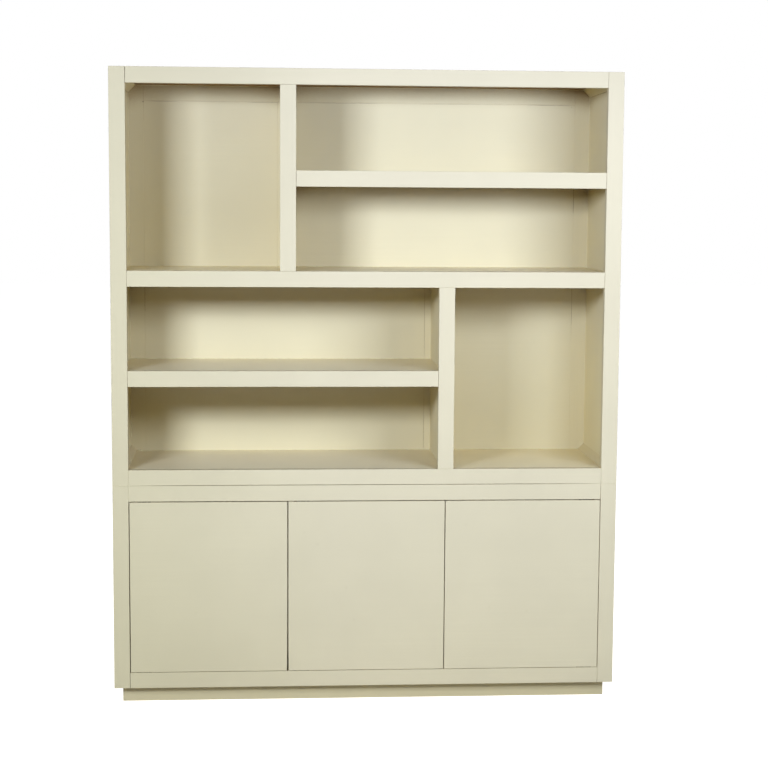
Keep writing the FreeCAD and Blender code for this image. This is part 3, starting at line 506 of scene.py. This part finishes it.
FRONT_EDGES = {                       # millimetres each edge lies inside the CAD's, a minus being outside
    "door_left": {"left": waver(1, 0.5, 0.4), "right": flare(0.1, 1.0),
                  "top": waver(2, 0.3), "bottom": waver(3, 0.2, -0.35)},
    "door_middle": {"left": flare(0.05, 0.85), "right": waver(4, 0.2, -0.3),
                    "top": waver(5, 0.3), "bottom": waver(6, 0.2, -0.35)},
    "door_right": {"left": waver(7, 0.2, -0.3), "right": slope(-0.1, -0.2),
                   "top": waver(9, 0.3), "bottom": waver(10, 0.2, -0.35)},
    "upper_bottom_rail": {"bottom": bow(1.45), "right": even(0.35)},
    "base_top_rail": {"right": slope(1.1, 0.4), "bottom": waver(11, 0.3)},
    "base_bottom_rail": {"left": slope(0.95, 0.8), "right": even(0.4), "top": waver(12, 0.3)},
    "upper_top_rail": {"left": slope(0.85, 1.25), "right": even(0.45), "bottom": waver(13, 0.4)},
    "middle_shelf_lipping": {"top": waver(14, 0.3), "bottom": waver(15, 0.4),
                             "left": even(0.3), "right": even(0.55)},
    "upper_half_lipping": {"top": waver(16, 0.3), "bottom": waver(17, 0.4),
                           "left": even(0.5), "right": even(0.7)},
    "lower_half_lipping": {"top": waver(18, 0.3), "bottom": waver(19, 0.4),
                           "left": even(0.5), "right": even(0.6)},
    "upper_divider_stile": {"left": waver(20, 0.3), "right": waver(21, 0.3)},
    "lower_divider_stile": {"left": waver(22, 0.3), "right": waver(23, 0.3)},
    "upper_stile_left": {"left": waver(24, 0.4)},
    "upper_stile_right": {"right": waver(25, 0.4)},
    "base_stile_left": {"left": waver(26, 0.4)},
    "base_stile_right": {"right": waver(27, 0.4)},
}


def add_front():
    """The doors and the face frame, as hand-finished pieces in place of the CAD's dead straight ones."""
    for node, sides in FRONT_EDGES.items():
        mesh = worked_copy(node)
        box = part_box(node)
        for side, depth in sides.items():
            pull_in(mesh, box, side, depth)
        add_piece(node + "_finished", mesh, BODY_OF[node], SLOTS[node], finish_of(node), node)


# ---------------------------------------------------------------- filler and cracks inside

BACK_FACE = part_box("back_stiles")[0].y
BAYS = {                              # the boards round each bay: left, right, below and above
    "upper_left": ("upper_side_left", "upper_divider", "middle_shelf", "upper_top"),
    "upper_right": ("upper_divider", "upper_side_right", "upper_half_shelf", "upper_top"),
    "middle_right": ("upper_divider", "upper_side_right", "middle_shelf", "upper_half_shelf"),
    "middle_left": ("upper_side_left", "lower_divider", "lower_half_shelf", "middle_shelf"),
    "lower_left": ("upper_side_left", "lower_divider", "upper_bottom", "lower_half_shelf"),
    "lower_right": ("lower_divider", "upper_side_right", "upper_bottom", "middle_shelf"),
}
FILLER = (1.2 * MM, 2.2 * MM)         # the least and the greatest radius of the filler's hollow
FILLER_PITCH = 0.02
FILLER_STEPS = 5
FILLER_KEPT, FILLER_NEW = 0.7, 0.3    # how a radius follows from the last one and a new draw
SUNK = 0.3 * MM                       # how far added pieces reach into the boards that carry them
PROUD = 0.12 * MM                     # how far the dark lines and spots stand out of them


def sweep(mesh, rings, closed=False):
    """A tube through rings of places, joined end to end or capped."""
    loops = [[mesh.verts.new(place) for place in ring] for ring in rings]
    pairs = list(zip(loops, loops[1:])) + ([(loops[-1], loops[0])] if closed else [])
    for first, second in pairs:
        for k in range(len(first)):
            after = (k + 1) % len(first)
            mesh.faces.new((first[k], first[after], second[after], second[k]))
    if not closed:
        mesh.faces.new(loops[0])
        mesh.faces.new(loops[-1])
    bmesh.ops.recalc_face_normals(mesh, faces=mesh.faces)


def bay_opening(bay):
    """The left, right, lower and upper bounds of a bay."""
    left, right, below, above = (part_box(board) for board in BAYS[bay])
    return left[1].x, right[0].x, below[1].z, above[0].z


def round_the_bay(bay):
    """Places round the back of a bay, each with the way that points away from the boards there."""
    x0, x1, z0, z1 = bay_opening(bay)
    corners = [(x0, z0, 1, 1), (x1, z0, -1, 1), (x1, z1, -1, -1), (x0, z1, 1, -1)]
    for (ax, az, nx, nz), (bx, bz, mx, mz) in zip(corners, corners[1:] + corners[:1]):
        yield Vector((ax, 0, az)), Vector((nx, 0, nz))
        way = Vector(((nx + mx) / 2, 0, (nz + mz) / 2))
        steps = round(math.hypot(bx - ax, bz - az) / FILLER_PITCH)
        for step in range(1, steps):
            yield Vector((ax, 0, az)).lerp(Vector((bx, 0, bz)), step / steps), way


def add_filler(bay, seed):
    """The bead of filler, wiped hollow with a finger, where the back meets the boards of a bay.

    Each ring is a quarter arc with its ends sunk into the back and the board, closed behind them.
    """
    rng = random.Random(seed)
    mesh = bmesh.new()
    rings = []
    radius = rng.uniform(*FILLER)
    for place, way in round_the_bay(bay):
        radius = FILLER_KEPT * radius + FILLER_NEW * rng.uniform(*FILLER)
        ring = [place - way * SUNK + Vector((0, BACK_FACE + SUNK, 0))]
        for step in range(FILLER_STEPS + 1):
            angle = math.pi / 2 * step / FILLER_STEPS
            out, forward = 1 - math.sin(angle), 1 - math.cos(angle)
            sink = SUNK * (step == FILLER_STEPS)
            behind = SUNK * (step == 0)
            level = BACK_FACE + behind - radius * forward
            ring.append(place + way * (radius * out - sink) + Vector((0, level, 0)))
        rings.append(ring)
    sweep(mesh, rings, closed=True)
    add_piece("filler_" + bay, mesh, "carcass", "painted_carcass", MATERIALS["inside_level"])


WALLS = {                             # a place on each face behind or beside the bays, and the way out of it
    "back": (Vector((0, BACK_FACE, 0)), Vector((0, -1, 0))),
    "left": (Vector((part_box("upper_side_left")[1].x, 0, 0)), Vector((1, 0, 0))),
    "right": (Vector((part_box("upper_side_right")[0].x, 0, 0)), Vector((-1, 0, 0))),
}
CRACKS = {                            # wall, both ends along it and up, and greatest width, in millimetres
    "crack_top_left": ("back", (-707, 1922), (-610, 1922), 0.7),
    "crack_top_left_middle": ("back", (-600, 1922), (-415, 1922.5), 0.35),
    "crack_top_left_end": ("back", (-385, 1921), (-262, 1921.5), 0.6),
    "crack_top_right": ("back", (-238, 1922), (120, 1922), 0.55),
    "crack_top_right_middle": ("back", (120, 1922), (560, 1922), 0.4),
    "crack_top_right_end": ("back", (560, 1922), (725, 1921.5), 0.7),
    "crack_stile_middle_right": ("back", (725, 1652), (725, 1560), 0.5),
    "crack_stile_lower_right": ("back", (725, 1318), (725, 1180), 0.5),
    "crack_stile_middle_left": ("back", (-725, 1316), (-725, 1222), 0.5),
    "crack_mullion_middle": ("back", (220, 1286), (220, 1072), 0.35),
    "crack_mullion_lower": ("back", (220, 930), (220, 756), 0.4),
    "crack_batten_behind": ("back", (774, 1951), (752, 1973), 0.8),
    "crack_batten_right": ("right", (205, 1950), (-110, 1950), 2.2),
    "crack_batten_left": ("left", (205, 1950), (60, 1950), 2.2),
    "crack_side_right": ("right", (208, 1893), (208, 1868), 0.5),
}
LINE_PITCH = 0.012
LINE_STEPS = 4                        # the fewest lengths that a line is made of
LINE_FADES = 4                        # it reaches its full width one part in this many from each end
LINE_WIDTHS = (0.5, 1.0)              # its width from place to place, of the greatest
LINE_TIP, LINE_BODY = 0.15, 0.85      # the share of the width that stays at its tips, and the rest
LINE_WANDERS = (-0.1, 0.1)            # how far it strays to each side, in millimetres
RUN = ("back", (754, 750), (775, 771), 3.0)      # a thick run of paint along the end of the lower batten
RUN_PROUD = 1.2 * MM
PITS = {                              # middle on the back and size of each small hole, in millimetres
    "pit_back_left": ((-726, 1920.4), (3.6, 3.2)),
    "pit_back_right": ((-412, 1921), (0.8, 2.4)),
    "pit_back_far_right": ((712, 1916), (1.4, 1.4)),
    "pit_floor_first": ((-757, 751.5), (2.4, 1.3)),
    "pit_floor_second": ((-745, 751.5), (2.8, 1.2)),
}
PIT_CORNERS = 9
PIT_REACH = (0.7, 1.1)                # how far its corners reach, of half its size
PIT_RINGS = ((1.0, -SUNK), (1.0, PROUD / 2), (0.6, PROUD))       # share of its size, and height


def on_wall(wall, along, up):
    """The place on a wall at millimetres along it, X on the back and Y on a side, and up it."""
    foot, out = WALLS[wall]
    return foot + Vector((abs(out.y) * along, abs(out.x) * along, up)) * MM


def add_line(name, line, proud, finish, seed):
    """A thin line on a wall, of uneven width and fading at its ends, standing out by proud."""
    wall, first, last, widest = line
    first, last, out = on_wall(wall, *first), on_wall(wall, *last), WALLS[wall][1]
    across = (last - first).normalized().cross(out)
    rng = random.Random(seed)
    steps = max(LINE_STEPS, round((last - first).length / LINE_PITCH))
    rings = []
    for step in range(steps + 1):
        fade = min(1.0, LINE_FADES * step / steps, LINE_FADES * (steps - step) / steps)
        half = widest * MM / 2 * (LINE_TIP + LINE_BODY * fade * rng.uniform(*LINE_WIDTHS))
        place = first.lerp(last, step / steps) + across * rng.uniform(*LINE_WANDERS) * MM
        rings.append([place + across * side * half + out * height for side, height in
                      ((-1, -SUNK), (-1, proud / 2), (0, proud), (1, proud / 2), (1, -SUNK))])
    mesh = bmesh.new()
    sweep(mesh, rings)
    add_piece(name, mesh, "carcass", "painted_carcass", MATERIALS[finish])


def add_pit(name, seed):
    """A small dark hole where the filler has sunk or fallen out."""
    (x, z), (width, height) = PITS[name]
    rng = random.Random(seed)
    reaches = [rng.uniform(*PIT_REACH) for _ in range(PIT_CORNERS)]
    rings = []
    for share, proud in PIT_RINGS:
        ring = []
        for corner, uneven in enumerate(reaches):
            angle = 2 * math.pi * corner / PIT_CORNERS
            reach = share * uneven / 2
            spot = (x + math.cos(angle) * width * reach, z + math.sin(angle) * height * reach)
            ring.append(on_wall("back", *spot) + WALLS["back"][1] * proud)
        rings.append(ring)
    mesh = bmesh.new()
    sweep(mesh, rings)
    add_piece(name, mesh, "carcass", "painted_carcass", MATERIALS["crack"])


def add_inside():
    """The filler, the cracks, the paint run and the pits of the bays."""
    for seed, bay in enumerate(BAYS):
        add_filler(bay, seed)
    for seed, (name, line) in enumerate(CRACKS.items()):
        add_line(name, line, PROUD, "crack", seed)
    add_line("paint_run", RUN, RUN_PROUD, "inside_level", len(CRACKS))
    for seed, name in enumerate(PITS):
        add_pit(name, seed)


# ---------------------------------------------------------------- the scene

add_camera()
add_softboxes()
add_world()
add_floor()
finish_nodes()
add_front()
add_inside()

bpy.context.scene.view_settings.view_transform = "Standard"
bpy.context.view_layer.update()
